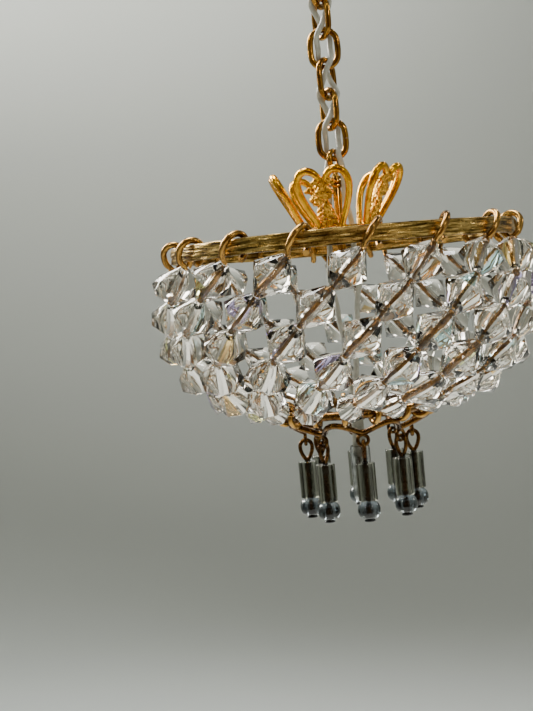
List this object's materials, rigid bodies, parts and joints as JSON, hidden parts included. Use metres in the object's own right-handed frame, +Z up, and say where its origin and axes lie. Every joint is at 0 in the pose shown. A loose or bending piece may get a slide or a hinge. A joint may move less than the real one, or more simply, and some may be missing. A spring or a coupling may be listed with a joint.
{
  "type": "miniature chandelier",
  "caption": "Dolls' house chandelier: a bowl of spiralling crystal strands under a gilt crown, with smoky glass pendants, hung on a wired chain.",
  "frame": {"origin": "centre of the ceiling plate's flat top face, where it meets the ceiling", "axes": "+Z up out of the ceiling face, -Y towards the viewer, +X to the viewer's right"},
  "size_m": [0.0556, 0.0556, 0.0876],
  "materials": {
    "canopy_gold": "polished",
    "chain_gold": "polished",
    "crown_gold": "polished",
    "rim_gold": "antiqued, striated",
    "dark_gold": "dulled",
    "strand_wire": "polished wire",
    "crystal": "faceted, faint rainbow coating",
    "smoky_glass": "clear smoky grey",
    "bulb_glass": "clear",
    "flex_plastic": "satin insulation",
    "sleeve_plastic": "matte",
    "filament": "dark wire"
  },
  "bodies": {
    "ceiling_canopy": {"ceiling_plate": "canopy_gold", "canopy_cup": "canopy_gold", "canopy_hook": "chain_gold", "flex_a_canopy": "flex_plastic", "flex_b_canopy": "flex_plastic"},
    "chain": {"chain_link_1": "chain_gold", "chain_link_2": "chain_gold", "chain_link_3": "chain_gold", "chain_link_4": "chain_gold", "chain_link_5": "chain_gold", "flex_a_chain": "flex_plastic", "flex_b_chain": "flex_plastic"},
    "bottom_link": {"chain_link_6": "chain_gold", "flex_a_link": "flex_plastic", "flex_b_link": "flex_plastic"},
    "fixture": {"centre_pin": "crown_gold", "pin_ball": "crown_gold", "crown": "crown_gold", "rim_ring": "rim_gold", "rim_spider": "rim_gold", "crystal_strand_01": "crystal", "crystal_strand_02": "crystal", "crystal_strand_03": "crystal", "crystal_strand_04": "crystal", "crystal_strand_05": "crystal", "crystal_strand_06": "crystal", "crystal_strand_07": "crystal", "crystal_strand_08": "crystal", "crystal_strand_09": "crystal", "crystal_strand_10": "crystal", "crystal_strand_11": "crystal", "crystal_strand_12": "crystal", "crystal_strand_13": "crystal", "crystal_strand_14": "crystal", "crystal_strand_15": "crystal", "crystal_strand_16": "crystal", "lower_ring": "dark_gold", "scalloped_ring": "dark_gold", "bulb_sleeve": "sleeve_plastic", "bulb_glass": "bulb_glass", "bulb_filament": "filament", "flex_a_lamp": "flex_plastic", "flex_b_lamp": "flex_plastic"},
    "pendant_1": {"pendant_pin_1": "dark_gold", "pendant_beads_1": "smoky_glass"},
    "pendant_2": {"pendant_pin_2": "dark_gold", "pendant_beads_2": "smoky_glass"},
    "pendant_3": {"pendant_pin_3": "dark_gold", "pendant_beads_3": "smoky_glass"},
    "pendant_4": {"pendant_pin_4": "dark_gold", "pendant_beads_4": "smoky_glass"},
    "pendant_5": {"pendant_pin_5": "dark_gold", "pendant_beads_5": "smoky_glass"},
    "pendant_6": {"pendant_pin_6": "dark_gold", "pendant_beads_6": "smoky_glass"},
    "pendant_7": {"pendant_pin_7": "dark_gold", "pendant_beads_7": "smoky_glass"},
    "pendant_8": {"pendant_pin_8": "dark_gold", "pendant_beads_8": "smoky_glass"}
  },
  "joints": [
    {"name": "chain_swing", "type": "hinge", "parent": "ceiling_canopy", "child": "chain", "pos_m": [0, 0, -0.01065], "axis": [1, 0, 0], "range_deg": [-15, 15]},
    {"name": "link_swing", "type": "hinge", "parent": "chain", "child": "bottom_link", "pos_m": [0, 0, -0.03215], "axis": [0.5, -0.866, 0], "range_deg": [-15, 15]},
    {"name": "fixture_swing", "type": "hinge", "parent": "bottom_link", "child": "fixture", "pos_m": [0, 0, -0.03645], "axis": [1, 0, 0], "range_deg": [-15, 15]},
    {"name": "pendant_swing_1", "type": "hinge", "parent": "fixture", "child": "pendant_1", "pos_m": [-0.00768, -0.00054, -0.07692], "axis": [0.0696, -0.9976, 0], "range_deg": [-35, 12]},
    {"name": "pendant_swing_2", "type": "hinge", "parent": "fixture", "child": "pendant_2", "pos_m": [-0.00505, -0.00581, -0.07692], "axis": [0.7546, -0.6562, 0], "range_deg": [-35, 12]},
    {"name": "pendant_swing_3", "type": "hinge", "parent": "fixture", "child": "pendant_3", "pos_m": [0.00054, -0.00768, -0.07692], "axis": [0.9976, 0.0696, 0], "range_deg": [-35, 12]},
    {"name": "pendant_swing_4", "type": "hinge", "parent": "fixture", "child": "pendant_4", "pos_m": [0.00581, -0.00505, -0.07692], "axis": [0.6562, 0.7546, 0], "range_deg": [-35, 12]},
    {"name": "pendant_swing_5", "type": "hinge", "parent": "fixture", "child": "pendant_5", "pos_m": [0.00768, 0.00054, -0.07692], "axis": [-0.0696, 0.9976, 0], "range_deg": [-35, 12]},
    {"name": "pendant_swing_6", "type": "hinge", "parent": "fixture", "child": "pendant_6", "pos_m": [0.00505, 0.00581, -0.07692], "axis": [-0.7546, 0.6562, 0], "range_deg": [-35, 12]},
    {"name": "pendant_swing_7", "type": "hinge", "parent": "fixture", "child": "pendant_7", "pos_m": [-0.00054, 0.00768, -0.07692], "axis": [-0.9976, -0.0696, 0], "range_deg": [-35, 12]},
    {"name": "pendant_swing_8", "type": "hinge", "parent": "fixture", "child": "pendant_8", "pos_m": [-0.00581, 0.00505, -0.07692], "axis": [-0.6562, -0.7546, 0], "range_deg": [-35, 12]}
  ]
}
